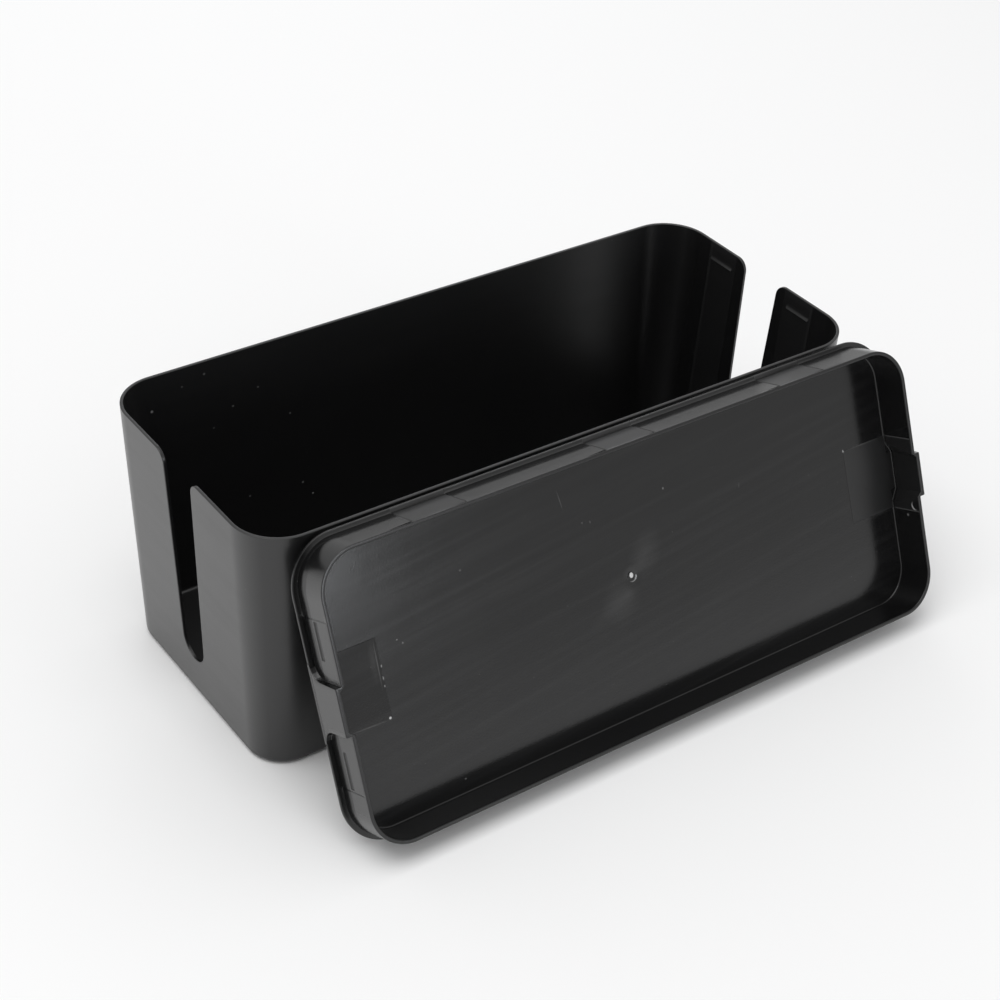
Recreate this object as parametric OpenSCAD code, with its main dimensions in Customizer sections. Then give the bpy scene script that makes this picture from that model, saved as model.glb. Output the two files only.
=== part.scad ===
// Cable management box: an open tub with a cable slot in each end, and its plug-in lid.
// The lid is off, turned underside out, and leans on the front wall of the tub.
// Millimetres, +Z up. The origin is the centre of the tub's underside, its front faces -Y.

/* [Box] */
// Outside length of the box over its rim
box_l = 320; // [260:1:420]
// Outside width of the box over its rim
box_w = 135; // [110:1:180]
// Height of the box from its underside to its rim
box_h = 125; // [90:1:160]
// Outside radius of the four upright corners at the rim
corner_r = 22; // [16:0.5:30]
// Thickness of the walls
wall = 1.5; // [1.2:0.1:2.4]
// Height of the top of the floor above the underside of the foot
floor_z = 6; // [4:0.5:12]
// Thickness of the floor
floor_t = 2; // [1.5:0.1:3]
// Slope of the walls in degrees, narrower at the base
draft = 2.35; // [1:0.05:3]
// Outside radius between the walls and the underside
foot_r = 3; // [2:0.25:5]
// Width of the foot ring under the walls, outside the recess under the floor
foot_w = 5; // [4:0.5:8]
// Inside radius between the walls and the floor
floor_r = 1.8; // [1:0.1:5]

/* [Cable slots] */
// Width of each slot just below its flared mouth
slot_top_w = 23.4; // [18:0.2:28]
// Width of each slot at its round bottom
slot_low_w = 18.2; // [12:0.2:22]
// Height of the bottom of each slot above the underside
slot_z = 20.5; // [12:0.5:40]
// Radius of the rounded mouth of each slot
mouth_r = 6; // [3:0.5:9]

/* [Lid] */
// Thickness of the lid plate
lid_t = 1.5; // [1.2:0.1:2.4]
// Depth of the skirt that plugs into the box
skirt_h = 18; // [14:0.5:24]
// Thickness of the skirt
skirt_t = 1.6; // [1.2:0.1:2.4]
// Gap between the foot of the skirt and each short wall
end_gap = 1.3; // [0.6:0.1:2]
// Gap between the foot of the skirt and each long wall
side_gap = 0.9; // [0.4:0.1:2]
// Gap between each tongue and the sides of its slot
tongue_gap = 0.8; // [0.4:0.1:1.5]
// Thickness of the outer face of each tongue
tongue_t = 2; // [1.4:0.1:3]

/* [Snaps] */
// Length of each catch along the short wall
catch_l = 15.5; // [8:0.5:18]
// Distance from the middle of the short wall to the middle of each catch
catch_y = 28.2; // [25:0.1:34]
// Depth of the tip of each catch below the rim
catch_z = 9.2; // [6:0.1:12]
// Height of the ramp of each catch
catch_h = 1.5; // [1:0.1:3]
// Reach of each catch into its groove in the skirt
catch_bite = 0.3; // [0.1:0.05:0.6]
// Gap all round each catch in its groove
catch_gap = 0.5; // [0.3:0.05:1]

/* [Moulding marks] */
// Length of the pad behind each tongue, under the plate
pad_l = 26; // [15:0.5:40]
// Width of the pad behind each tongue
pad_w = 36; // [30:0.5:44]
// Height of the pad above the underside of the plate
pad_t = 0.2; // [0.1:0.05:0.4]
// Diameter of the gate stub in the middle of the plate
gate_d = 2.4; // [1:0.1:3]
// Length of the gate stub below the plate
gate_h = 0.7; // [0.3:0.1:1.2]
// Diameter of the dimple round the gate stub
dimple_d = 5; // [4:0.5:10]
// Depth of the dimple round the gate stub
dimple_t = 0.4; // [0.2:0.05:0.8]

/* [Lid off the box] */
// Angle between the leaning lid and the floor, in degrees
lean = 66.5; // [50:0.5:80]
// Gap between the leaning lid and the edge it rests on
lean_gap = 0.3; // [0.1:0.05:1]
// Distance that the leaning lid stands to the right of the box
lid_shift = 10; // [0:1:40]

/* [Hidden] */
$fn = 96;
plastic = [0.05, 0.05, 0.055];
// Number of narrow strips that make up each round foot
foot_steps = 8;
// Extra length of every cut past the face that it opens
over = 1;
// Inward shift of a wall for each millimetre below the rim
slope = tan(draft);
// Middle of the round bottom of a slot, and the level where its mouth starts to flare
slot_mid_z = slot_z + slot_low_w / 2;
mouth_z = box_h - mouth_r;
// Outline of the skirt: clear of the inside of the box at the foot of the skirt
skirt_in = wall + skirt_h * slope;
skirt_l = box_l - 2 * (skirt_in + end_gap);
skirt_w = box_w - 2 * (skirt_in + side_gap);
skirt_r = corner_r - (box_l - skirt_l) / 2;
// Inside of a short wall at the tip of a catch, and how far the catch stands off it
catch_wall_x = box_l / 2 - wall - catch_z * slope;
catch_out = catch_wall_x - skirt_l / 2 + catch_bite;
// Leaning lid: where it meets the front wall, its foot on the floor and its own origin
touch_z = min(box_h, box_w * sin(lean));
touch_y = -box_w / 2 + (box_h - touch_z) * slope - lean_gap / sin(lean);
foot_y = touch_y - touch_z / tan(lean);
lid_y = foot_y + box_w / 2 * cos(lean) - lid_t * sin(lean);
lid_z = box_w / 2 * sin(lean) + lid_t * cos(lean);

// Flat outline with four round corners, centred on the origin
module rounded(length, width, radius) {
    square([length - 2 * radius, width], center = true);
    square([length, width - 2 * radius], center = true);
    for (x = [-1, 1], y = [-1, 1])
        translate([x * (length / 2 - radius), y * (width / 2 - radius)])
            circle(radius);
}

// Flat outline drawn in Y and Z, drawn out along X by the same length each way
module along_x(length) {
    rotate([90, 0, 90])
        linear_extrude(length, center = true)
            children();
}

// Flat outline drawn in X and Z, drawn out along Y by the same length each way
module along_y(length) {
    rotate([90, 0, 0])
        linear_extrude(length, center = true)
            children();
}

// Points along the round foot of a wall, from its underside to where the wall starts
function foot_points(x, z, radius) = [
    for (i = [0:foot_steps])
        let (a = i * (90 - draft) / foot_steps)
            [x + radius * sin(a), z - radius * cos(a)]
];

// Upright section of one sloping wall: reach is its distance from the middle at the rim, and
// rise is how far it goes on straight up from there
module wall_section(reach, bottom, foot, rise) {
    foot_x = reach - (box_h - bottom) * slope + foot * slope - foot / cos(draft);
    polygon(concat(
        [[0, bottom]],
        foot_points(foot_x, bottom + foot, foot),
        [[reach, box_h]],
        rise > 0 ? [[reach, box_h + rise]] : [],
        [[0, box_h + rise]]
    ));
}

// Solid form of the box, inset from its outside: flat walls, cone corners and a round foot
module box_form(inset, bottom, foot, rise) {
    for (turn = [0, 90]) {
        reach = (turn == 0 ? box_l : box_w) / 2 - inset;
        span = (turn == 0 ? box_w : box_l) - 2 * corner_r;
        rotate([0, 0, turn])
            along_y(span)
                for (flip = [0, 1])
                    mirror([flip, 0])
                        wall_section(reach, bottom, foot, rise);
    }
    for (end = [0, 1], side = [0, 1])
        mirror([end, 0, 0])
            mirror([0, side, 0])
                translate([box_l / 2 - corner_r, box_w / 2 - corner_r, 0])
                    rotate_extrude(angle = 90)
                        wall_section(corner_r - inset, bottom, foot, rise);
}

// Outline of a cable slot in Y and Z, narrowed by a gap all round: bottom, sides and mouth
module slot_outline(gap, top) {
    half_top = slot_top_w / 2 - gap;
    half_low = slot_low_w / 2 - gap;
    half_mouth = slot_top_w / 2 + mouth_r;
    translate([0, slot_mid_z])
        intersection() {
            circle(half_low);
            translate([-slot_low_w, -slot_low_w])
                square([2 * slot_low_w, slot_low_w]);
        }
    polygon([
        [-half_low, slot_mid_z],
        [half_low, slot_mid_z],
        [half_top, mouth_z],
        [-half_top, mouth_z]
    ]);
    difference() {
        translate([-half_mouth, mouth_z])
            square([2 * half_mouth, top - mouth_z]);
        for (side = [-1, 1])
            translate([side * half_mouth, mouth_z])
                circle(mouth_r + gap);
    }
}

// Recess under the floor, which leaves the foot ring standing under the walls
module recess() {
    inset = box_h * slope + foot_w;
    translate([0, 0, -over])
        linear_extrude(floor_z - floor_t + over)
            rounded(box_l - 2 * inset, box_w - 2 * inset, max(corner_r - inset, 1));
}

// Ramped catch on the inside of the right short wall, at one side of its slot
module catch() {
    tip_z = box_h - catch_z;
    tip_x = catch_wall_x - catch_out;
    top_z = tip_z + catch_h;
    nose = catch_h / 4;
    translate([0, catch_y, 0])
        along_y(catch_l)
            polygon([
                [catch_wall_x + wall / 2, tip_z],
                [tip_x, tip_z],
                [tip_x, tip_z + nose],
                [catch_wall_x + catch_h * slope, top_z],
                [catch_wall_x + wall / 2, top_z]
            ]);
}

// Tub: sloping walls, raised floor, two cable slots and four catches
module box() {
    color(plastic)
        difference() {
            union() {
                difference() {
                    box_form(0, 0, foot_r, 0);
                    box_form(wall, floor_z, floor_r, over);
                }
                for (end = [0, 1], side = [0, 1])
                    mirror([end, 0, 0])
                        mirror([0, side, 0])
                            catch();
            }
            along_x(box_l + 2 * over)
                slot_outline(0, box_h + over);
            recess();
        }
}

// Tongue or its hollow on the right end of the lid, with Z = 0 where the lid meets the rim
module tongue_form(gap, inner_x, outer_x, low, high) {
    intersection() {
        along_x(box_l + 2 * over)
            translate([0, -box_h])
                slot_outline(gap, box_h + high);
        along_y(box_w)
            polygon([
                [inner_x, low],
                [outer_x + low * slope, low],
                [outer_x, 0],
                [outer_x, high],
                [inner_x, high]
            ]);
    }
}

// Groove in the outside of the skirt that takes one catch
module groove() {
    deep = catch_bite + catch_gap;
    high = catch_h + 2 * catch_gap;
    translate([skirt_l / 2 - deep, catch_y - catch_l / 2 - catch_gap, -catch_z - catch_gap])
        cube([deep + over, catch_l + 2 * catch_gap, high]);
}

// Lid as it lies on the box: plate, skirt, two hollow tongues, grooves and moulding marks
module lid_form() {
    inner_l = skirt_l - 2 * skirt_t;
    difference() {
        union() {
            linear_extrude(lid_t)
                rounded(box_l, box_w, corner_r);
            translate([0, 0, -skirt_h])
                linear_extrude(skirt_h + lid_t / 2)
                    rounded(skirt_l, skirt_w, skirt_r);
            for (end = [0, 1])
                mirror([end, 0, 0])
                    tongue_form(tongue_gap, inner_l / 2, box_l / 2, -skirt_h, lid_t / 2);
        }
        translate([0, 0, -skirt_h - over])
            linear_extrude(skirt_h + over)
                rounded(inner_l, skirt_w - 2 * skirt_t, skirt_r - skirt_t);
        for (end = [0, 1])
            mirror([end, 0, 0]) {
                tongue_form(tongue_gap + skirt_t, inner_l / 2 - over, box_l / 2 - tongue_t,
                    -skirt_h - over, 0);
                for (side = [0, 1])
                    mirror([0, side, 0])
                        groove();
            }
        cylinder(h = 2 * dimple_t, d = dimple_d, center = true);
    }
    for (end = [0, 1])
        mirror([end, 0, 0])
            translate([inner_l / 2 - pad_l, -pad_w / 2, -pad_t])
                cube([pad_l + skirt_t / 2, pad_w, pad_t + lid_t / 2]);
    translate([0, 0, -gate_h])
        cylinder(h = gate_h + lid_t / 2, d = gate_d);
}

// Lid leaning on the front wall, its underside out and its back edge down on the floor
module lid() {
    color(plastic)
        translate([lid_shift, lid_y, lid_z])
            rotate([180 + lean, 0, 0])
                lid_form();
}

box();
lid();
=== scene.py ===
import math

import bpy
import numpy as np
from mathutils import Matrix, Vector


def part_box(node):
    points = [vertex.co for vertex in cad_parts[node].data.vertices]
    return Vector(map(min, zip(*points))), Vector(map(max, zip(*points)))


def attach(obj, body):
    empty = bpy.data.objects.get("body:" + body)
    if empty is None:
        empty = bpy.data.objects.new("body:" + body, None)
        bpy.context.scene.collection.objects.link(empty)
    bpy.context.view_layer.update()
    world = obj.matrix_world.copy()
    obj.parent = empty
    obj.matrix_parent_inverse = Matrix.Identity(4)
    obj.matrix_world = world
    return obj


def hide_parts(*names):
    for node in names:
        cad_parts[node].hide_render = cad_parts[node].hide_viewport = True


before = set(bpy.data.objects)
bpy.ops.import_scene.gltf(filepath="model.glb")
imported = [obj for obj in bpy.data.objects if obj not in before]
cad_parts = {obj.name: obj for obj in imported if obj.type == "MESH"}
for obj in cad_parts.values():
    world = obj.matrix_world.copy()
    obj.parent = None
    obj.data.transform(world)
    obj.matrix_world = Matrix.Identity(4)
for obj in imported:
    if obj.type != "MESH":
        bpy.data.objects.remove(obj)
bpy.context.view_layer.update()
scene = bpy.context.scene
mm = 0.001
sharpAngle = 32.0  # degrees; an edge that turns by more stays crisp
boxLow, boxHigh = (np.array(corner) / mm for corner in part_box("box"))
lidLow, lidHigh = (np.array(corner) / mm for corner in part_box("lid"))
print("frame loaded:", ", ".join(sorted(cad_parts)))

cameraSet = {
    "target": (7.57, 0.0, 45.4),  # mm
    "distance": 970.9,
    "azimuth": -37.0,  # degrees
    "elevation": 35.72,
    "roll": 3.32,
    "lens": 73.88,  # mm
    "sensor": 36.0,
    "clip": (0.05, 20.0),  # metres
}


def makeCamera(v):
    # Looks back along the azimuth and elevation from the target, then rolls about its own axis
    azimuth, elevation, roll = (math.radians(v[key]) for key in ("azimuth", "elevation", "roll"))
    towards = Vector((math.sin(azimuth) * math.cos(elevation),
                      -math.cos(azimuth) * math.cos(elevation),
                      math.sin(elevation)))
    right = (-towards).cross(Vector((0, 0, 1))).normalized()
    up = right.cross(-towards)
    rolledRight = math.cos(roll) * right + math.sin(roll) * up
    rolledUp = math.cos(roll) * up - math.sin(roll) * right
    place = (Vector(v["target"]) + towards * v["distance"]) * mm
    data = bpy.data.cameras.new("camera")
    data.lens, data.sensor_width = v["lens"], v["sensor"]
    data.clip_start, data.clip_end = v["clip"]
    camera = bpy.data.objects.new("camera", data)
    turn = Matrix((rolledRight, rolledUp, towards)).transposed()
    camera.matrix_world = Matrix.Translation(place) @ turn.to_4x4()
    scene.collection.objects.link(camera)
    scene.camera = camera


makeCamera(cameraSet)
print("camera made")


def quarterBend(count, first=0.0, last=90.0):
    # Equal steps of angle, in radians, round a bend
    return np.radians(np.linspace(first, last, count))


def seamColumns(place, half):
    # Two columns close to a seam carry its step, and two more keep its line narrow
    return place + half * np.array([-4, -1, 1, 4])


def plateau(place, low, high, half):
    # One between low and high and nothing outside, with a slope of twice half at both ends
    return np.interp(place, [low - half, low + half, high - half, high + half], [0, 1, 1, 0])


def facingShare(out):
    # One on a wall that faces along an axis, down to nothing a little way round the corner
    return np.clip(out * 4 - 3, 0, 1)


def spreadColumns(wallCount, turn, longX, cornerX):
    # End wall, corner and long side of a quarter: every column's outward direction, and its x on the
    # rectangle through the centres of the four corners
    outX = np.concatenate([np.ones(wallCount), np.cos(turn), 0 * longX])
    outY = np.concatenate([np.zeros(wallCount), np.sin(turn), 0 * longX + 1])
    baseX = np.concatenate([np.full(wallCount + len(turn), cornerX), longX])
    return outX, outY, baseX


def aroundLoop(count):
    # A quarter's columns, mirrored into all four: index into the quarter and the signs of x and y
    forth, back = np.arange(count), np.arange(count - 2, -1, -1)
    lengths = [count, count - 1, count - 1, count - 2]
    index = np.concatenate([forth, back, forth[1:], back[:-1]])
    return index, np.repeat([1, -1, -1, 1], lengths), np.repeat([1, 1, -1, -1], lengths)


class RingStack:
    # Rows of one quarter from the middle of one face to the middle of the other, with two marks
    # a point that the plastic reads: matt for a duller finish and pale for a lighter colour, which on
    # some zones is painted light
    def __init__(self):
        self.rows, self.matt, self.pale = [], [], []

    def add(self, row, matt=0.0, pale=0.0):
        self.rows.append(row)
        self.matt.append(np.zeros(len(row)) + matt)
        self.pale.append(np.zeros(len(row)) + pale)

    def closed(self):
        # Every ring closed round all four quarters
        index, signX, signY = aroundLoop(len(self.rows[0]))
        rings = np.stack(self.rows)[:, index]
        rings[..., 0] *= signX
        rings[..., 1] *= signY
        return rings, np.stack(self.matt)[:, index], np.stack(self.pale)[:, index]


def ringMesh(name, rings, matt, pale, extraParts=()):
    # Quad (r, c) joins two rings and two columns; the first and last rings are filled as flat caps
    rowCount, columnCount = rings.shape[:2]
    index = np.arange(rowCount * columnCount).reshape(rowCount, columnCount)
    right = np.roll(index, -1, axis=1)
    quads = np.stack([index[:-1], right[:-1], right[1:], index[1:]], axis=-1).reshape(-1, 4)
    points, mattParts, paleParts = [rings.reshape(-1, 3)], [matt.ravel()], [pale.ravel()]
    faces = quads.tolist() + [index[0][::-1].tolist(), index[-1].tolist()]
    offset = rowCount * columnCount
    for partPoints, partFaces, partMatt, partPale in extraParts:
        points.append(partPoints)
        mattParts.append(np.full(len(partPoints), partMatt))
        paleParts.append(np.full(len(partPoints), partPale))
        faces += [[i + offset for i in face] for face in partFaces]
        offset += len(partPoints)
    mesh = bpy.data.meshes.new(name)
    mesh.from_pydata((np.concatenate(points) * mm).tolist(), [], faces)
    for mark, parts in (("matt", mattParts), ("pale", paleParts)):
        mesh.attributes.new(mark, "FLOAT", "POINT").data.foreach_set("value", np.concatenate(parts))
    mesh.update()
    mesh.shade_smooth()
    mesh.set_sharp_from_angle(angle=math.radians(sharpAngle))
    piece = bpy.data.objects.new(name, mesh)
    scene.collection.objects.link(piece)
    return piece


tub = {
    # lengths in mm
    "length": boxHigh[0] - boxLow[0],
    "width": boxHigh[1] - boxLow[1],
    "height": boxHigh[2],
    "corner": 22.0,
    "wall": 1.5,
    "floorTop": 6.0,
    "floorThick": 2.0,
    "floorRadius": 1.8,
    "draft": 2.35,  # degrees
    "footRadius": 3.0,
    "footWidth": 5.0,
    "footLead": 0.5,  # one more ring this far in, on the flat beside a foot
    "recessChamfer": 0.3,
    "slotTop": 23.4,  # width under the mouth
    "slotLow": 18.2,
    "slotBottom": 20.5,
    "mouthRadius": 6.0,
    "edgeRadius": 0.28,
    "edgeBand": 0.8,  # width of the strip that follows every cut edge
    "catchFrom": 20.45,
    "catchTo": 35.95,
    "catchTip": 115.8,
    # height over its tip and share of its reach, from the catch's foot to the end of its ramp
    "catchProfile": ((-0.01, 0.0), (0.0, 0.93), (0.1, 1.0), (0.25, 1.0), (1.9, 0.0)),
    "catchOut": 0.7,
    "catchEnd": 0.3,  # slope of each end along y, above a step of the next share
    "catchShoulder": 0.75,
    "panelFrom": 18.0,  # witness of the insert that shapes the inside beside each slot
    "panelTo": 37.5,
    "panelFoot": 28.0,
    "panelTop": 124.0,
    "panelOut": 0.1,
    "seamHalf": 0.06,
    # grid: steps of each bend, columns of the flat parts and levels of the walls
    "slotSteps": 17,
    "sideSteps": 28,
    "cornerSteps": 29,
    "footSteps": 9,
    "rimSteps": 6,
    "lastFlatY": 41.0,
    "cornerLead": 0.8,
    "longColumns": (110.0, 75.0, 40.0, 0.0),
    "outsideLevels": (3.6, 10, 40, 80, 112, 123.4, 124.2),
    "insideLevels": (124.2, 123.6, 121, 118.5, 116.9, 116.2, 115.2, 113, 100, 80, 60, 40),
    "lowestInside": 0.8,  # over the foot of the inside
    # finish of each zone; the pale of the ends is painted light from the left, and the pale of the catch
    # is painted sheen
    "matt": {"recess": 0.6, "foot": 0.3, "outside": 0.1, "inside": 0.2, "panel": 0.2, "catch": 0.5,
             "floor": 0.5},
    "pale": {"ends": 0.04, "panel": 0.004, "strip": 0.01, "catch": 0.006},
}


def catchColumns(t):
    # y of the steps and slopes at the two ends of a catch
    seam, end = t["seamHalf"], t["catchEnd"]
    return [t["catchFrom"] - seam, t["catchFrom"] + seam, t["catchFrom"] + end,
            t["catchTo"] - end, t["catchTo"] - seam, t["catchTo"] + seam]


def tubColumns(t):
    # Edge point and normal into the wall of each column of a quarter: round the bottom of the slot,
    # up its side, out along its mouth, then along the rim to the middle of the long side
    slotMid = t["slotBottom"] + t["slotLow"] / 2
    mouthFoot = t["height"] - t["mouthRadius"]
    halfLow, halfTop = t["slotLow"] / 2, t["slotTop"] / 2
    slotBend = quarterBend(t["slotSteps"])
    sine, cosine = np.sin(slotBend), np.cos(slotBend)
    arc = np.stack([halfLow * sine, slotMid - halfLow * cosine, sine, -cosine])
    share = np.linspace(0, 1, t["sideSteps"] + 2)[1:-1]
    side = np.array([halfTop - halfLow, mouthFoot - slotMid])
    sideNormal = np.array([side[1], -side[0]]) / np.hypot(*side)
    straight = np.stack([halfLow + share * side[0], slotMid + share * side[1],
                         np.full_like(share, sideNormal[0]), np.full_like(share, sideNormal[1])])
    flare = np.stack([halfTop + t["mouthRadius"] - t["mouthRadius"] * cosine,
                      mouthFoot + t["mouthRadius"] * sine, cosine, -sine])
    cornerX, cornerY = t["length"] / 2 - t["corner"], t["width"] / 2 - t["corner"]
    flatY = np.array([*seamColumns(t["panelFrom"], t["seamHalf"]), *catchColumns(t),
                      *seamColumns(t["panelTo"], t["seamHalf"]), t["lastFlatY"],
                      cornerY - t["cornerLead"]])
    flat = np.stack([flatY, np.full_like(flatY, t["height"]), 0 * flatY, 0 * flatY - 1])
    turn = quarterBend(t["cornerSteps"])
    longX = np.array([cornerX - t["cornerLead"], *t["longColumns"]])
    plain = np.repeat([[cornerY], [t["height"]], [0], [-1]], len(turn) + len(longX), axis=1)
    wallCount = arc.shape[1] + straight.shape[1] + flare.shape[1] + flat.shape[1]
    edge = np.concatenate([arc, straight, flare, flat, plain], axis=1)
    return edge, *spreadColumns(wallCount, turn, longX, cornerX)


def makeTub(t):
    # A profile from the recess under the floor, over the foot ring, up the outside, over the rim
    # and down to the floor
    slope = math.tan(math.radians(t["draft"]))
    edge, outX, outY, baseX = tubColumns(t)
    onEnd = outX == 1
    bandY = edge[0] + edge[2] * t["edgeBand"]
    bandZ = edge[1] + edge[3] * t["edgeBand"]
    seam = t["seamHalf"]
    matt, pale = t["matt"], t["pale"]
    stack = RingStack()

    def place(y, z, inward):
        # Distance from the centre rectangle: corner radius less the draft below the rim
        reach = t["corner"] - (t["height"] - z) * slope - inward
        return np.stack([baseX + outX * reach, y + outY * reach, z + 0 * reach], axis=-1)

    def edgeRow(distance, inward):
        # Ring at a distance from the cut edge, along the wall
        return place(edge[0] + edge[2] * distance, edge[1] + edge[3] * distance, inward)

    def wallRow(level, low, inward):
        # Ring at its level on the plain walls, squeezed under the slot in proportion
        fullTop = t["height"] - t["edgeBand"]
        z = low + (level - low) * (bandZ - low) / (fullTop - low)
        return place(bandY, z, inward)

    def flatRow(reach, z):
        # Level ring at a distance from the centre rectangle
        return np.stack([baseX + outX * reach, bandY + outY * reach, np.full_like(baseX, z)], axis=-1)

    def footRows(radius, bottom, inward, angles):
        # Circle tangent to the wall and to the flat below it, with one more ring on that flat
        cosine = math.cos(math.radians(t["draft"]))
        inset = inward + (t["height"] - bottom - radius) * slope + radius / cosine
        rows = [flatRow(t["corner"] - inset + radius * math.sin(a), bottom + radius * (1 - math.cos(a)))
                for a in angles]
        return [flatRow(t["corner"] - inset - t["footLead"], bottom)] + rows

    def panelShare(y, z):
        # One on the insert's panel, between its two seams and above its foot
        return onEnd * plateau(y, t["panelFrom"], t["panelTo"], seam) \
            * np.interp(z, [t["panelFoot"] - seam, t["panelFoot"] + seam], [0, 1])

    shoulder = t["catchShoulder"]
    catchRise, catchShare = np.array(t["catchProfile"]).T
    catchLevels = t["catchTip"] + catchRise

    def relief(y, z):
        # The panel's step and the catch: sloped ends along y, a sharp foot and a ramp along z
        across = np.interp(y, catchColumns(t), [0, shoulder, 1, 1, shoulder, 0])
        up = np.interp(z, catchLevels, catchShare)
        return np.maximum(panelShare(y, z) * t["panelOut"], onEnd * across * up * t["catchOut"])

    # Recess under the floor and the foot ring
    bend = quarterBend(t["footSteps"], 0, 90 - t["draft"])
    recessReach = t["corner"] - t["height"] * slope - t["footWidth"]
    recessTop, chamfer = t["floorTop"] - t["floorThick"], t["recessChamfer"]
    for reach, z in ((-2 * chamfer, recessTop), (-chamfer, recessTop), (0, recessTop - chamfer),
                     (0, chamfer), (chamfer, 0)):
        stack.add(flatRow(recessReach + reach, z), matt["recess"])
    for row in footRows(t["footRadius"], 0, 0, bend):
        stack.add(row, matt["foot"])

    # Outside, then over the rim
    outerFoot = t["footRadius"] * (1 - math.cos(bend[-1]))
    # The pale of the ends makes the end walls' outside lighter: painted light as from the lamp at the
    # left
    for level in t["outsideLevels"]:
        stack.add(wallRow(level, outerFoot, 0), matt["outside"], pale["ends"] * facingShare(outX))
    radius = t["edgeRadius"]
    for a in quarterBend(t["rimSteps"]):
        stack.add(edgeRow(radius * (1 - math.sin(a)), radius * (1 - math.cos(a))), matt["outside"])
    for a in quarterBend(t["rimSteps"]):
        stack.add(edgeRow(radius * (1 - math.cos(a)), t["wall"] - radius * (1 - math.sin(a))),
                  matt["outside"])

    # Inside with its panels and catches, and the floor
    innerFoot = t["floorTop"] + t["floorRadius"] * (1 - math.cos(bend[-1]))
    outerStrip = onEnd * plateau(bandY, t["catchTo"], t["panelTo"], seam)
    levels = [*t["insideLevels"], *catchLevels, t["panelFoot"] + seam, t["panelFoot"] - seam,
              innerFoot + t["lowestInside"]]
    for level in sorted(levels, reverse=True):
        raised = relief(bandY, level) if level < t["panelTop"] else 0
        share = panelShare(bandY, level)
        # The pale of the catch makes the catches' ramps lighter: painted sheen
        onCatch = np.where(raised > 2 * t["panelOut"], 1, 0)
        stack.add(wallRow(level, innerFoot, t["wall"] + raised),
                  matt["inside"] + matt["panel"] * share + matt["catch"] * onCatch,
                  pale["panel"] * share + pale["strip"] * share * outerStrip + pale["catch"] * onCatch)
    for row in footRows(t["floorRadius"], t["floorTop"], t["wall"], bend)[::-1]:
        stack.add(row, matt["floor"])
    return ringMesh("tubMoulding", *stack.closed())


tubPiece = makeTub(tub)
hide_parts("box")
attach(tubPiece, "tub")
print("tub made:", len(tubPiece.data.polygons), "faces")

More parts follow.
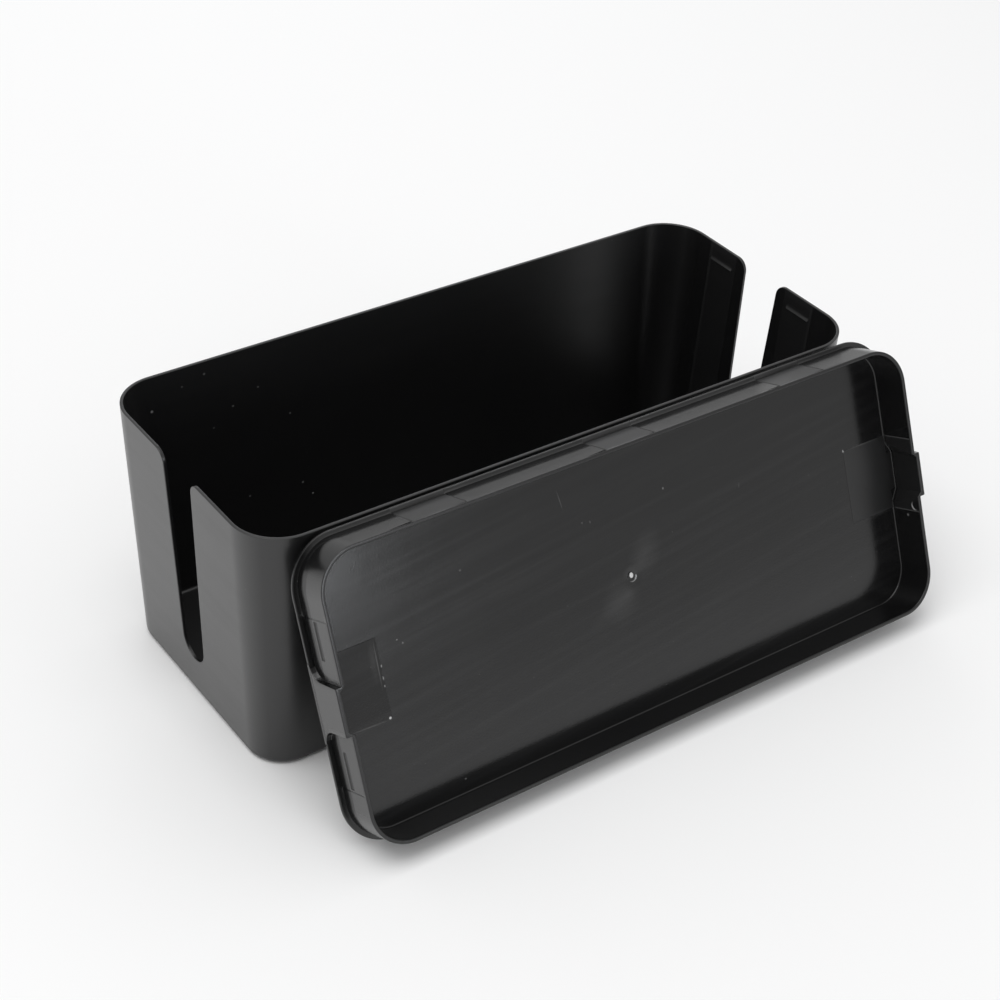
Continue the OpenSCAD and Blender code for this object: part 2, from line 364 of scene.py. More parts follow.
lid = {
    # lengths in mm; z is 0 at the underside of the plate and falls towards the skirt's rim
    "length": lidHigh[0] - lidLow[0],
    "width": boxHigh[1] - boxLow[1],
    "corner": 22.0,
    "plate": 1.5,
    "skirtDepth": 18.0,
    "skirtThick": 1.6,
    "skirtHalfLength": 156.46,
    "skirtHalfWidth": 64.36,
    "rootOut": 1.1,  # the skirt's root stands out by this much, and its rim by the next
    "rimOut": 0.08,
    "lean": 66.5,  # degrees
    "draft": 2.35,
    "topRound": 0.45,
    "topLead": 0.6,  # one more ring this far in, on the top beside the round
    "rimRound": 0.26,
    "rimInner": 0.55,  # radius of the rim's inner edge
    "rimInnerLead": 0.1,  # one more ring this far above it
    "rootFillet": 0.6,
    "rootLead": 0.5,  # one more ring this far in, on the plate beside the fillet
    "tongueHalf": 10.55,  # at the rim and at the foot of its flare
    "tongueNeck": 10.9,
    "tongueRound": 0.4,
    "tongueFoot": 0.3,  # radius of the inner bend between its sides and the skirt
    "neckLevel": -6.8,
    "flareMiddle": 17.7,
    "flareRadius": 6.8,
    "pocketDeepX": 158.0,
    "pocketInner": (8.6, 9.5),  # half width at the rim and at the plate
    "pocketOuter": (10.6, 15.0),
    "pocketSlant": (0.04, 0.34, 0.66, 0.96, 1.0),  # share of the slant at each edge column
    "seamY": 37.5,
    "innerSeamY": 18.0,
    "seamHalf": 0.09,
    "seamDeep": 0.24,
    "grooveY": (19.95, 36.45),
    "grooveZ": (-9.7, -7.2),
    "grooveDeep": 0.4,
    "grooveStep": 0.05,  # half height of its upper and lower edges
    "patchX": (13.0, 84.0, 110.0),
    "stepOut": 0.06,
    "padX": (128.86, 154.95),
    "padHalf": 18.0,
    "padHigh": 0.2,
    "padSunk": 0.4,  # reach into the plate
    "padBevel": 0.15,
    "padLead": 0.3,  # one more ring this far in, on the pad beside its bevel
    "pocketPadX": 157.6,  # far end and half width of the strip that runs on into the pocket
    "pocketPadHalf": 9.3,
    "pocketPadStep": 0.01,  # the strip stands this much lower than the pad
    "pocketPadBevel": 0.02,
    "padOverlap": 0.5,
    # radius, height, stretch, painted highlight all round, painted highlight on one side and share of the
    # shift of each ring of the gate stub and its dimple
    "gate": ((0.3, -0.7, 1.4, 1.0, 0, 1), (0.6, -0.68, 1.4, 1.0, 0, 1), (0.86, -0.6, 1.35, 1.0, 0, 1),
             (1.02, -0.42, 1.3, 0.6, 0, 1), (1.1, -0.2, 1.25, 0, 0, 1), (1.16, 0.06, 1.2, 0, 0, 1),
             (1.3, 0.15, 1.15, 0, 0, 0.9), (1.7, 0.2, 1.05, 0, 0, 0.6), (2.15, 0.15, 1.0, 0, 0, 0.3),
             (2.4, 0.05, 1.0, 0, 0.3, 0.1), (2.52, 0.02, 1.0, 0, 0.4, 0), (2.64, 0, 1.0, 0, 0, 0),
             (6.0, 0, 1.0, 0, 0, 0)),
    "gateShift": (-0.6, -0.8),
    "gateSide": 60.0,  # degrees from +X towards +Y
    "gateFacing": (0.3125, 0.9375),  # cosines to that side between which the painted highlight grows
    # grid: columns and steps of each bend, and levels of the skirt
    "tongueColumns": 6,
    "gapColumns": 3,
    "cornerSteps": 29,
    "bendSteps": 7,
    "flareSteps": 13,
    "cornerLead": 0.8,
    "flatColumns": (24.0, 28.2, 32.0, 41.0, 44.7),
    "longColumns": (124.0, 97.0, 70.0, 55.0, 40.0, 25.0, 6.5, 0.0),
    "insideLevels": (-2, -6, -11, -16),
    "outsideLevels": (-16, -12),
    "rimLead": 0.8,  # from the rim to the first level of the outside
    # finish of each zone, where the pale of the ends, the flange, the long inside, the patches and the
    # right pad is painted light and sheen; the pads' by the end they lie at
    "matt": {"fillet": 0.1, "inside": 0.2, "insideMiddle": 0.5, "rimInside": 0.5, "rim": 0.2,
             "skirt": 0.05, "patch": 0.6, "groove": 1.6, "flange": 0.1, "topRound": 0.6, "top": 0.9},
    "pale": {"insideMiddle": 0.01, "insideSeam": 0.12, "insideLongSheen": 0.015, "patch": 0.015,
             "ends": 0.08, "flange": 0.075, "flangePatchSheen": 0.02},
    "padMatt": {-1: -0.25, 1: 0.7},
    # the right pad's pale is painted sheen of its rough face
    "padSheen": {-1: 0.0, 1: 0.008},
    "insideSheenFade": ((-110, -30), (1, 0.1)),  # x and the share of the painted sheen that is left there
    "flangeSheenFade": ((80, 115), (1, 0.35)),
}


def lidColumns(v, cornerX):
    # Fixed y on the end wall past the tongue, and the columns of the whole quarter
    seam = v["seamHalf"]
    grooveEnds = np.add.outer(v["grooveY"], [-seam, seam]).ravel()
    flatY = np.sort([*v["flatColumns"], *grooveEnds, *seamColumns(v["innerSeamY"], seam),
                     *seamColumns(v["seamY"], seam)])
    patchSeams = np.concatenate([seamColumns(x, seam) for x in v["patchX"]])
    longX = np.sort([cornerX - v["cornerLead"], *v["longColumns"], *patchSeams])[::-1]
    wallCount = v["tongueColumns"] + len(v["pocketSlant"]) + v["gapColumns"] + len(flatY)
    return flatY, *spreadColumns(wallCount, quarterBend(v["cornerSteps"]), longX, cornerX)


def tiltGate(v, rings, paleMarks):
    # The gate stub leans to one side of its dimple, whose other side carries a painted highlight
    sideHighlight, shiftShare = np.array(v["gate"])[:, 4:].T
    gateRings = rings[:len(sideHighlight)]
    facing = np.cos(np.arctan2(gateRings[..., 1], gateRings[..., 0]) - math.radians(v["gateSide"]))
    paleMarks[:len(sideHighlight)] += np.interp(facing, v["gateFacing"], (0, 1)) * sideHighlight[:, None]
    gateRings[..., :2] += shiftShare[:, None, None] * np.array(v["gateShift"])


def makeLid(v):
    # A profile from the gate at the middle of the plate's underside, down inside the skirt, up its
    # outside, out under the flange and over its edge to the top of the plate
    slope = math.tan(math.radians(v["draft"]))
    halfLength = v["length"] / 2
    cornerX = halfLength - v["corner"]
    flangeY = v["width"] / 2 - v["corner"]
    skirtRadius = v["skirtHalfLength"] - cornerX
    innerRadius = skirtRadius - v["skirtThick"]
    skirtY = v["skirtHalfWidth"] - skirtRadius
    low = -v["skirtDepth"]
    seam = v["seamHalf"]
    pair = np.array([-seam, seam])
    flatY, outX, outY, baseX = lidColumns(v, cornerX)
    onEnd, onSide = outX == 1, outY == 1
    tongueShare = np.linspace(0, 1, v["tongueColumns"])
    edgeEnd = v["tongueColumns"] + len(v["pocketSlant"])
    onTongue, onEdge = slice(v["tongueColumns"]), slice(v["tongueColumns"], edgeEnd)
    pastTongue = slice(edgeEnd, None)
    matt, pale = v["matt"], v["pale"]
    stack = RingStack()

    def tongueHalf(z):
        # Straight sides that open slowly, then a flare along a circle up to the flange
        side = np.interp(z, [low, v["neckLevel"]], [v["tongueHalf"], v["tongueNeck"]])
        rise = max(z - v["neckLevel"], 0)
        return side if rise == 0 else v["flareMiddle"] - math.sqrt(v["flareRadius"] ** 2 - rise ** 2)

    def columnsY(tongue, edge, first, cornerY):
        # y of every column: the tongue, its edge, a gap up to the first fixed column, and the rest
        gap = first + (flatY[0] - first) * np.linspace(0, 1, v["gapColumns"] + 2)[1:-1]
        wall = np.concatenate([tongue, edge, gap, flatY])
        return np.concatenate([wall, np.full(len(baseX) - len(wall), cornerY)])

    def outerRow(z, cornerY, radius, tongueZ=None, push=0.0):
        # Skirt or flange ring at radius; where the tongue stands, x runs out to the drafted end face
        level = min(z if tongueZ is None else tongueZ, v["plate"])
        half = tongueHalf(min(level, 0))
        edge, foot = v["tongueRound"], v["tongueFoot"]
        edgeBow, footBow = 0.3 * edge, 0.3 * foot  # from a square corner to the middle of its round
        y = columnsY(tongueShare * (half - edge), half + np.array([-edgeBow, 0, 0, footBow, foot]),
                     half + foot, cornerY)
        face = halfLength + min(level, 0) * slope - cornerX - radius
        out = np.zeros(len(y))
        out[onTongue] = face
        out[onEdge] = np.minimum([face - edgeBow, face - edge, foot, footBow, 0], max(face, 0))
        share = np.clip(out / max(face, 1e-6), 0, 1)
        reach = radius + np.maximum(out, 0) + push
        height = z + (level - z) * share
        return np.stack([baseX + outX * reach, y + outY * reach, height], axis=-1)

    def innerRow(z, push=0.0):
        # Inner face of the skirt with the pocket behind the tongue, whose sides slant
        share = (z - low) / -low
        inner = np.interp(share, [0, 1], v["pocketInner"])
        outer = np.interp(share, [0, 1], v["pocketOuter"])
        slant = np.array(v["pocketSlant"])
        y = columnsY(tongueShare * inner, inner + (outer - inner) * slant, outer, skirtY)
        deep = v["pocketDeepX"] + z * slope - (v["skirtHalfLength"] - v["skirtThick"])
        out = np.zeros(len(y))
        out[onTongue] = deep
        out[onEdge] = deep * (1 - slant)
        reach = innerRadius + out + push
        return np.stack([baseX + outX * reach, y + outY * reach, z + 0 * y], axis=-1)

    def taper(z):
        # Radius of the skirt's outside, which widens from its rim to its root
        return skirtRadius + np.interp(z, [low, 0], [v["rimOut"], v["rootOut"]])

    def insertShare(row):
        # One where a mould insert shaped the outside: the middle of each end, three patches a side
        end = np.interp(np.abs(row[:, 1]), v["seamY"] + pair, [1, 0])
        along = np.interp(np.abs(row[:, 0]), np.add.outer(v["patchX"], pair).ravel(), [1, 0, 0, 1, 1, 0])
        return end * onEnd, along * onSide

    def nearSeam(distance, place):
        # One on a seam's line, down to nothing at the columns beside it
        return np.interp(np.abs(distance), seamColumns(place, seam), [0, 1, 1, 0])

    def outerSeams(row):
        # The seams round each insert on the outside
        across = sum(nearSeam(row[:, 0], place) for place in v["patchX"])
        return nearSeam(row[:, 1], v["seamY"]) * onEnd + across * onSide

    # Gate stub and dimple, with the plate beyond them up to the fillet at the skirt's root
    fillet = v["rootFillet"]
    bend = quarterBend(v["bendSteps"])
    plateEdge = innerRow(0, -fillet)
    spread = plateEdge[:, :2] / np.linalg.norm(plateEdge[:, :2], axis=1)[:, None]
    # The stub's pale is a painted highlight
    for radius, z, stretch, nubHighlight, *_ in v["gate"]:
        stack.add(np.column_stack([spread * radius * [1, stretch], np.full(len(spread), z)]), 0, nubHighlight)
    stack.add(innerRow(0, -fillet - v["rootLead"]))
    for a in bend:
        stack.add(innerRow(-fillet * (1 - math.cos(a)), -fillet * (1 - math.sin(a))), matt["fillet"])

    # Inside of the skirt and both edges of its rim
    rimRound, rimInner = v["rimRound"], v["rimInner"]
    firstInside = len(stack.rows)
    for z in (*v["insideLevels"], low + rimInner + v["rimInnerLead"]):
        row = innerRow(z)
        middle = np.interp(row[:, 1], v["innerSeamY"] + pair, [1, 0]) * onEnd
        line = nearSeam(row[:, 1], v["innerSeamY"]) * onEnd
        stack.add(row, matt["inside"] + matt["insideMiddle"] * middle,
                  pale["insideMiddle"] * middle + pale["insideSeam"] * line)
    inside = slice(firstInside, len(stack.rows))
    for a in bend:
        stack.add(innerRow(low + rimInner * (1 - math.sin(a)), rimInner * (1 - math.cos(a))),
                  matt["rimInside"])
    for a in bend:
        z = low + rimRound * (1 - math.cos(a))
        stack.add(outerRow(z, skirtY, taper(z), push=-rimRound * (1 - math.sin(a))), matt["rim"])

    # Outside of the skirt, whose grooves take the catches, up to the flare
    grooveLow, grooveHigh = v["grooveZ"]
    flareTop = math.degrees(math.asin(-v["neckLevel"] / v["flareRadius"]))
    flareLevels = v["neckLevel"] + v["flareRadius"] * np.sin(quarterBend(v["flareSteps"], 0, flareTop))
    grooveEdges = np.add.outer(v["grooveZ"], [-v["grooveStep"], v["grooveStep"]]).ravel()
    levels = [low + v["rimLead"], *v["outsideLevels"], *grooveEdges, *flareLevels[:-2]]
    for z in levels:
        row = outerRow(z, skirtY, taper(z))
        cut = plateau(row[:, 1], *v["grooveY"], seam) * (grooveLow < z < grooveHigh) * onEnd
        onSkirt = row[:, 0] * outX < cornerX + taper(z) + 0.2  # the tongue stands further out
        end, along = insertShare(row)
        step = onSkirt * np.maximum(end, along) * v["stepOut"] \
            - cut * v["grooveDeep"] - outerSeams(row) * v["seamDeep"]
        row[:, 0] += outX * step
        row[:, 1] += outY * step
        # Painted light: the pale of the ends lightens the end skirts' outside as if lit from the left,
        # but not the tongue's edge nor past the tongue above its neck
        litEndShare = facingShare(outX)
        litEndShare[onEdge] = 0
        if z > v["neckLevel"]:
            litEndShare[pastTongue] = 0
        # The patches' duller finish is the inserts' own; their pale is painted sheen
        stack.add(row, matt["skirt"] + matt["patch"] * along + matt["groove"] * cut,
                  pale["patch"] * along + pale["ends"] * litEndShare)

    # Root of the skirt, underside of the flange and its edge: z, y of the corner's centre, radius
    # and the level at which the tongue crosses
    flangeRadius = v["corner"]
    root = taper(0)
    under = [(-0.1, skirtY, root, -0.42), (-0.02, skirtY, root + 0.02, -0.33),
             (0, skirtY, root + 0.12, -0.27),
             (0, (skirtY + flangeY) / 2, (root + flangeRadius) / 2, -0.2),
             (0, flangeY, flangeRadius - 0.6, -0.14), (0, flangeY, flangeRadius - 0.25, -0.08),
             (0.08, flangeY, flangeRadius - 0.07, -0.03), (0.25, flangeY, flangeRadius, 0.25),
             (0.7, flangeY, flangeRadius, 0.7)]
    firstUnder = len(stack.rows)
    for z, cornerY, radius, tongueZ in under:
        row = outerRow(z, cornerY, radius, tongueZ)
        end, along = insertShare(row)
        if z == 0:
            step = np.maximum(end, along) * v["stepOut"] - outerSeams(row) * v["seamDeep"] / 2
            row[:, 2] -= step * (row[:, 2] > -0.01)  # not on the tongue, which lies lower
        # The flange's underside on the long sides is painted lighter: painted reflection
        stack.add(row, matt["flange"] + matt["patch"] * along,
                  pale["flange"] * facingShare(outY) + pale["flangePatchSheen"] * along)
    flange = slice(firstUnder, len(stack.rows))
    topRound = v["topRound"]
    for a in bend:
        stack.add(outerRow(v["plate"] - topRound * (1 - math.sin(a)), flangeY,
                           flangeRadius - topRound * (1 - math.cos(a))), matt["topRound"])
    stack.add(outerRow(v["plate"], flangeY, flangeRadius - topRound - v["topLead"]), matt["top"])

    # Painted sheen fades to the right along the inside of the long skirt and the underside of the flange
    rings, mattMarks, paleMarks = stack.closed()
    onLongSide = facingShare(outY)[aroundLoop(len(outY))[0]]
    insideShare = onLongSide * np.interp(rings[inside, :, 0], *v["insideSheenFade"])
    paleMarks[inside] += pale["insideLongSheen"] * insideShare
    paleMarks[flange] *= np.interp(rings[flange, :, 0], *v["flangeSheenFade"])
    tiltGate(v, rings, paleMarks)
    return rings, mattMarks, paleMarks


def lidFrame(v):
    # Turn about X and shift that take the lid's own axes to its lean against the front wall
    lean = math.radians(v["lean"])
    shift = np.array([(lidLow[0] + lidHigh[0]) / 2,
                      lidLow[1] + v["skirtHalfWidth"] * math.cos(lean) + v["skirtDepth"] * math.sin(lean),
                      v["width"] / 2 * math.sin(lean) + v["plate"] * math.cos(lean)])
    return math.pi + lean, shift


def placeLid(points, v):
    # Points on the lid's own axes, turned about X and shifted to where it leans
    turn, shift = lidFrame(v)
    x, y, z = points[..., 0], points[..., 1], points[..., 2]
    return np.stack([x, y * math.cos(turn) - z * math.sin(turn),
                     y * math.sin(turn) + z * math.cos(turn)], axis=-1) + shift


def slab(low, high, bevel, lead):
    # Closed plate with a chamfered lower edge: four rings of a rectangle, capped at both ends
    levels = [(high[2], 0), (low[2] + bevel, 0), (low[2], bevel), (low[2], bevel + lead)]
    signs = np.array([[-1, -1], [-1, 1], [1, 1], [1, -1]])
    middle, half = (low[:2] + high[:2]) / 2, (high[:2] - low[:2]) / 2
    rings = np.stack([np.column_stack([middle + signs * (half - inset), np.full(4, z)])
                      for z, inset in levels])
    index = np.arange(16).reshape(4, 4)
    after = np.roll(index, -1, axis=1)
    quads = np.stack([index[:-1], after[:-1], after[1:], index[1:]], axis=-1).reshape(-1, 4)
    return rings.reshape(-1, 3), quads.tolist() + [index[0][::-1].tolist(), index[-1].tolist()]


def makePads(v):
    # The raised pad at each end of the plate and its strip into the pocket, as points, faces and marks
    near, far = v["padX"]
    strips = (((near, far), v["padHalf"], 0, v["padBevel"]),
              ((far - v["padOverlap"], v["pocketPadX"]), v["pocketPadHalf"], v["pocketPadStep"],
               v["pocketPadBevel"]))
    parts = []
    for end in (-1, 1):
        for ends, half, lift, bevel in strips:
            left, right = np.sort(end * np.array(ends))
            points, faces = slab(np.array([left, -half, lift - v["padHigh"]]),
                                 np.array([right, half, v["padSunk"]]), bevel, v["padLead"])
            parts.append((placeLid(points, v), faces, v["padMatt"][end], v["padSheen"][end]))
    return parts


lidRings, lidMatt, lidPale = makeLid(lid)
lidPiece = ringMesh("lidMoulding", placeLid(lidRings, lid), lidMatt, lidPale, makePads(lid))
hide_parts("lid")
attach(lidPiece, "cover")
print("lid made:", len(lidPiece.data.polygons), "faces")

lidTurn, lidShift = lidFrame(lid)
tubPlastic = {
    "name": "tubPlastic",
    "colour": (0.0055, 0.0055, 0.0058),
    "paleColour": (0.6, 0.6, 0.6),
    "smooth": 0.3,  # roughness where matt is 0 and where it is 1
    "dull": 0.5,
    "refraction": 1.62,
    "origin": (0, 0, 0),
    "turn": 0.0,
    "streakSize": (0.1, 0.1, 0.006),  # metres
    "streakTurn": 0,  # degrees
    "streakRough": 0.05,
    "streakPale": 0.002,
    "dustScale": 150,
    "dustRadius": 0.00022,
    # place, turn about z in degrees, half size and strength of each speck, scratch, nick and painted
    # highlight, in mm on the piece's own axes
    "marks": (
        ((-111.5, 65.7, 118.7), 0, (0.7, 0.7, 0.7), 0.25),
        ((-122.7, 65.6, 115.6), 0, (0.6, 0.6, 0.6), 0.25),
        ((-84.8, 65.1, 103.4), 0, (0.6, 0.6, 0.6), 0.3),
        ((-98.0, 64.9, 97.6), 0, (0.7, 0.7, 0.6), 0.3),
        ((-68.7, 64.3, 84.2), 0, (0.6, 0.6, 0.6), 0.4),
        ((-108.3, 64.5, 89.4), 0, (0.6, 0.6, 0.6), 0.3),
        ((-91.8, 62.8, 46.3), 0, (0.6, 0.6, 0.6), 0.6),
        ((-57.9, 62.3, 35.7), 0, (0.6, 0.6, 0.6), 0.8),
        ((-63.2, 62.7, 43.9), 0, (0.6, 0.6, 0.6), 0.6),
        ((-138.1, 65.3, 107.8), 0, (0.9, 0.9, 0.9), 0.5),
    ),
}
lidPlastic = {
    "name": "lidPlastic",
    # darker than the tub's colour though the same plastic: painted shade on the plate
    "colour": (0.004, 0.004, 0.0042),
    "paleColour": (0.6, 0.6, 0.6),
    "smooth": 0.165,
    "dull": 0.42,
    "refraction": 1.53,
    "origin": tuple(lidShift * mm),
    "turn": lidTurn,
    "streakSize": (0.16, 0.004, 0.16),
    "streakTurn": -6,
    "streakRough": 0.05,
    "streakPale": 0.035,
    "dustScale": 170,
    "dustRadius": 0.00022,
    "marks": (
        # plate: painted highlights of the sink ripples round the gate, then scratches and specks
        ((9.0, -8.0, 0), 35, (9.0, 13.0, 1.4), 0.03),
        ((5.0, -4.5, 0), 35, (4.0, 5.0, 1.4), 0.012),
        ((-8.0, 9.0, 0), 25, (11.0, 12.0, 1.4), 0.03),
        ((-3.5, 7.5, 0), 25, (4.0, 4.0, 1.4), 0.02),
        ((-16.0, 12.0, 0), -20, (13.0, 4.0, 1.4), 0.015),
        ((-29.7, -44.9, 0), -9, (0.25, 5.5, 1), 0.15),
        ((-132.1, -49.3, 0), 38, (0.25, 3.6, 1), 0.05),
        ((65.8, -21.3, 0), 15, (0.4, 1.6, 1), 0.06),
        ((24.3, -33.1, 0), 0, (0.6, 0.8, 0.6), 0.3),
        ((-20.6, -31.7, 0), 0, (0.5, 0.6, 0.5), 0.15),
        ((-16.5, -30.8, 0), 0, (0.4, 0.8, 0.5), 0.15),
        ((-101.3, 56.5, 0), 0, (0.7, 0.5, 0.6), 0.25),
        ((-83.9, -31.7, 0), 0, (0.8, 0.6, 0.7), 0.15),
        # left pad: a pale sliver, a painted highlight along its end edge, beads, a painted highlight
        # along its lower edge and a painted glint at that corner
        ((-131.9, -9.0, -0.2), 3, (2.0, 12.0, 2), 0.03),
        ((-130.3, -6.5, -0.2), 1, (0.4, 13.0, 1), 0.12),
        ((-128.7, -5.4, -0.2), 0, (0.5, 0.9, 0.6), 0.6),
        ((-129.0, -0.2, -0.2), 0, (0.5, 1.2, 0.6), 0.5),
        ((-129.1, 3.3, -0.2), 0, (0.5, 0.7, 0.6), 0.5),
        ((-119.3, -13.5, 0), 0, (0.6, 0.4, 0.6), 0.4),
        ((-116.9, -11.3, 0), 0, (0.4, 0.6, 0.6), 0.35),
        ((-139.0, 17.7, -0.2), 2, (13.0, 0.6, 1), 0.1),
        ((-129.8, 17.3, -0.2), 0, (0.75, 0.75, 0.7), 1.6),
        # right pad: painted highlights along two edges and a painted glint at a corner
        ((140.0, -17.8, -0.2), 1, (13.0, 0.5, 1), 0.08),
        ((128.9, -18.0, -0.2), 0, (0.6, 0.9, 0.6), 0.8),
        ((145.0, 18.2, -0.2), 0, (9.0, 1.4, 1), 0.03),
        # skirt beside the right pad: a nick, which a dark mark cuts off, and a dot
        ((154.7, 15.4, -14.8), 0, (2.0, 2.3, 2.3), 2.5),
        ((154.7, 15.0, -15.7), 0, (2.4, 2.2, 2.4), -10.0),
        ((154.7, 20.5, -9.5), 0, (1.0, 0.9, 0.9), 0.4),
    ),
}
surface = {
    # noise and bumps of both plastics
    "streakDetail": 4.0,
    "streakContrast": 0.6,
    "streakMiddle": 0.48,
    "cloudScale": 28.0,
    "cloudDetail": 3.0,
    "grainScale": 1100.0,
    "grainDetail": 2.0,
    "dustCore": 0.6,  # share of a speck's radius that is full
    "dustClouds": (0.42, 0.6),  # clouds between which the dust's strength goes from the one to the other
    "dustPale": (0.01, 0.18),
    "plateMatt": 0.05,  # matt at which the streaks of colour have ended
    "waveBump": {"Strength": 0.25, "Distance": 0.0004},
    "grainBump": {"Strength": 0.05, "Distance": 0.0003},
}


def addNode(tree, kind, settings=None, values=None, wires=None):
    # One node with its settings, its plain socket values and the sockets wired into it
    node = tree.nodes.new(kind)
    for key, value in (settings or {}).items():
        setattr(node, key, value)
    for key, value in (values or {}).items():
        node.inputs[key].default_value = value
    for key, socket in (wires or {}).items():
        tree.links.new(socket, node.inputs[key])
    return node


def addMath(tree, operation, first, second):
    # A sum, difference or product of two sockets or numbers
    node = addNode(tree, "ShaderNodeMath", {"operation": operation})
    for slot, value in enumerate((first, second)):
        if isinstance(value, (int, float)):
            node.inputs[slot].default_value = value
        else:
            tree.links.new(value, node.inputs[slot])
    return node.outputs[0]


def addShare(tree, total, value, factor):
    # The total plus a value times its factor
    return addMath(tree, "ADD", total, addMath(tree, "MULTIPLY", value, factor))


def addPlace(tree, place, values):
    # Coordinates on axes of their own, given by where those lie, how they turn and their unit
    return addNode(tree, "ShaderNodeMapping", {"vector_type": "TEXTURE"}, values,
                   {"Vector": place}).outputs[0]


def addNoise(tree, place, scale, detail, contrast=0.5):
    # Soft random values that vary over one unit of place divided by scale
    return addNode(tree, "ShaderNodeTexNoise", None,
                   {"Scale": scale, "Detail": detail, "Roughness": contrast},
                   {"Vector": place}).outputs["Fac"]


def addSlope(tree, value, start, end, low, high):
    # Low where the value is at start and high where it is at end, held beyond both
    return addNode(tree, "ShaderNodeMapRange", None,
                   {"From Min": start, "From Max": end, "To Min": low, "To Max": high},
                   {"Value": value}).outputs[0]


def makePlastic(v, s):
    # Roughness runs from smooth to dull with matt, streaks and clouds; colour runs to pale with the
    # pale mark (partly painted light), dust, streaks where the plastic is smooth, and the marks (specks,
    # scratches and painted highlights); the bump is a fine grain on slow waves
    material = bpy.data.materials.new(v["name"])
    material.use_nodes = True
    tree = material.node_tree
    shader = tree.nodes["Principled BSDF"]
    shader.inputs["IOR"].default_value = v["refraction"]
    matt = addNode(tree, "ShaderNodeAttribute", {"attribute_name": "matt"}).outputs["Fac"]
    pale = addNode(tree, "ShaderNodeAttribute", {"attribute_name": "pale"}).outputs["Fac"]
    own = addPlace(tree, addNode(tree, "ShaderNodeTexCoord").outputs["Object"],
                   {"Location": v["origin"], "Rotation": (v["turn"], 0, 0)})
    stretched = addPlace(tree, own, {"Scale": v["streakSize"],
                                     "Rotation": (0, 0, math.radians(v["streakTurn"]))})
    streaks = addNoise(tree, stretched, 1.0, s["streakDetail"], s["streakContrast"])
    clouds = addNoise(tree, own, s["cloudScale"], s["cloudDetail"])
    uneven = addShare(tree, addMath(tree, "MULTIPLY", streaks, v["streakRough"] * 2),
                      clouds, v["streakRough"])
    smoothest = v["smooth"] - v["streakRough"] * 1.5  # both noises have their middle at 0.5
    roughness = addShare(tree, smoothest, matt, v["dull"] - v["smooth"])
    tree.links.new(addMath(tree, "ADD", roughness, uneven), shader.inputs["Roughness"])

    cells = addNode(tree, "ShaderNodeTexVoronoi", None, {"Scale": v["dustScale"]},
                    {"Vector": own}).outputs["Distance"]
    reach = v["dustScale"] * v["dustRadius"]
    specks = addSlope(tree, cells, reach, reach * s["dustCore"], 0.0, 1.0)
    patchy = addSlope(tree, clouds, *s["dustClouds"], *s["dustPale"])
    onPlate = addSlope(tree, matt, 0.0, s["plateMatt"], v["streakPale"], 0.0)
    lightness = addShare(tree, pale, specks, patchy)
    lightness = addShare(tree, lightness, addMath(tree, "SUBTRACT", streaks, s["streakMiddle"]), onPlate)
    for place, turn, size, strength in v["marks"]:
        around = addPlace(tree, own, {"Location": tuple(np.array(place) * mm),
                                      "Rotation": (0, 0, math.radians(turn)),
                                      "Scale": tuple(np.array(size) * mm)})
        spot = addNode(tree, "ShaderNodeTexGradient", {"gradient_type": "SPHERICAL"}, None,
                       {"Vector": around}).outputs["Fac"]
        lightness = addShare(tree, lightness, spot, strength)
    ramp = addNode(tree, "ShaderNodeValToRGB", None, None, {"Fac": lightness})
    for stop, name in zip(ramp.color_ramp.elements, ("colour", "paleColour")):
        stop.color = (*v[name], 1)
    tree.links.new(ramp.outputs["Color"], shader.inputs["Base Color"])

    grain = addNoise(tree, own, s["grainScale"], s["grainDetail"])
    waves = addNode(tree, "ShaderNodeBump", None, s["waveBump"], {"Height": clouds})
    fine = addNode(tree, "ShaderNodeBump", None, s["grainBump"],
                   {"Height": grain, "Normal": waves.outputs[0]})
    tree.links.new(fine.outputs[0], shader.inputs["Normal"])
    return material


tubPiece.data.materials.append(makePlastic(tubPlastic, surface))
lidPiece.data.materials.append(makePlastic(lidPlastic, surface))
print("plastic made")

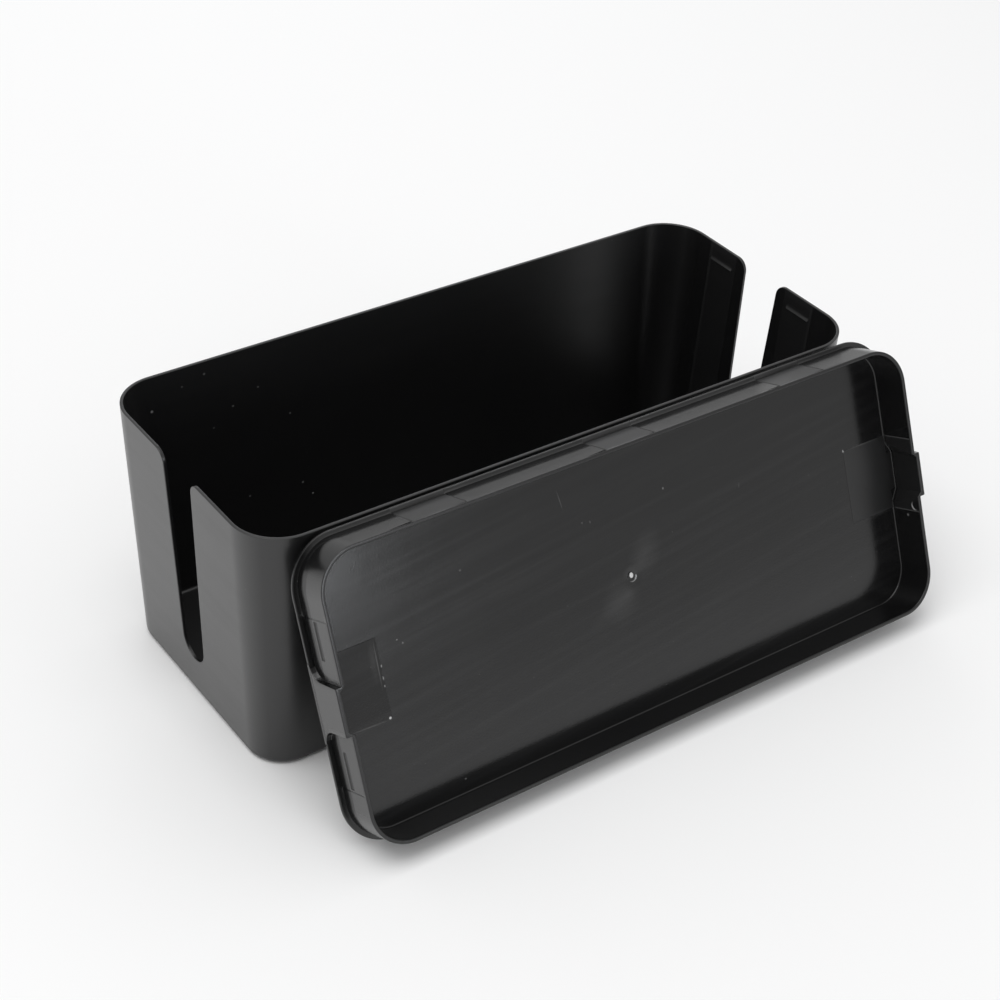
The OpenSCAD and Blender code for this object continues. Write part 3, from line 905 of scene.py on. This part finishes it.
studio = {
    "floorHalf": 6.0,  # metres
    "floorLevel": -0.0002,
    "paper": 0.95,
    "room": 0.65,
    # soft lamps: metres and watts
    "lamps": {
        "topLamp": {"place": (-0.9, 0.0, 3.0), "target": (-0.4, 0.0, 0.0), "size": (2.4, 2.4),
                    "power": 43, "colour": (1.0, 1.0, 1.0)},
        "frontLamp": {"place": (0.32, -1.51, 0.375), "target": (-0.1, -0.1, 0.08), "size": (0.36, 0.36),
                      "power": 2.0, "colour": (0.93, 0.96, 1.0)},
        "backLamp": {"place": (0.72, 1.25, 0.70), "target": (0.0, 0.0, 0.1), "size": (0.6, 0.2),
                     "power": 1.0, "colour": (0.93, 0.96, 1.0)},
    },
}


def makeFloor(v):
    # A flat square of white paper, just under the tub's foot
    half = v["floorHalf"]
    mesh = bpy.data.meshes.new("floor")
    corners = [(-half, -half), (half, -half), (half, half), (-half, half)]
    mesh.from_pydata([(x, y, v["floorLevel"]) for x, y in corners], [], [(0, 1, 2, 3)])
    floor = bpy.data.objects.new("floor", mesh)
    scene.collection.objects.link(floor)
    material = bpy.data.materials.new("floorPaper")
    material.use_nodes = True
    tree = material.node_tree
    tree.nodes.clear()
    paper = addNode(tree, "ShaderNodeBsdfDiffuse", None, {"Color": (v["paper"],) * 3 + (1,)})
    addNode(tree, "ShaderNodeOutputMaterial", None, None, {"Surface": paper.outputs[0]})
    mesh.materials.append(material)


def makeWorld(v):
    # One plain level all round
    world = bpy.data.worlds.new("studio")
    scene.world = world
    world.use_nodes = True
    tree = world.node_tree
    tree.nodes.clear()
    room = addNode(tree, "ShaderNodeBackground", None, {"Color": (1, 1, 1, 1), "Strength": v["room"]})
    addNode(tree, "ShaderNodeOutputWorld", None, None, {"Surface": room.outputs[0]})


def makeLamp(name, v):
    # A rectangle of light at its place, facing its target
    data = bpy.data.lights.new(name, "AREA")
    data.shape = "RECTANGLE"
    data.size, data.size_y = v["size"]
    data.energy = v["power"]
    data.color = v["colour"]
    lamp = bpy.data.objects.new(name, data)
    lamp.location = v["place"]
    lamp.rotation_mode = "QUATERNION"
    lamp.rotation_quaternion = (Vector(v["target"]) - Vector(v["place"])).to_track_quat("-Z", "Y")
    scene.collection.objects.link(lamp)


makeFloor(studio)
makeWorld(studio)
for lampName, lampValues in studio["lamps"].items():
    makeLamp(lampName, lampValues)
scene.view_settings.view_transform = "Standard"
print("studio made")
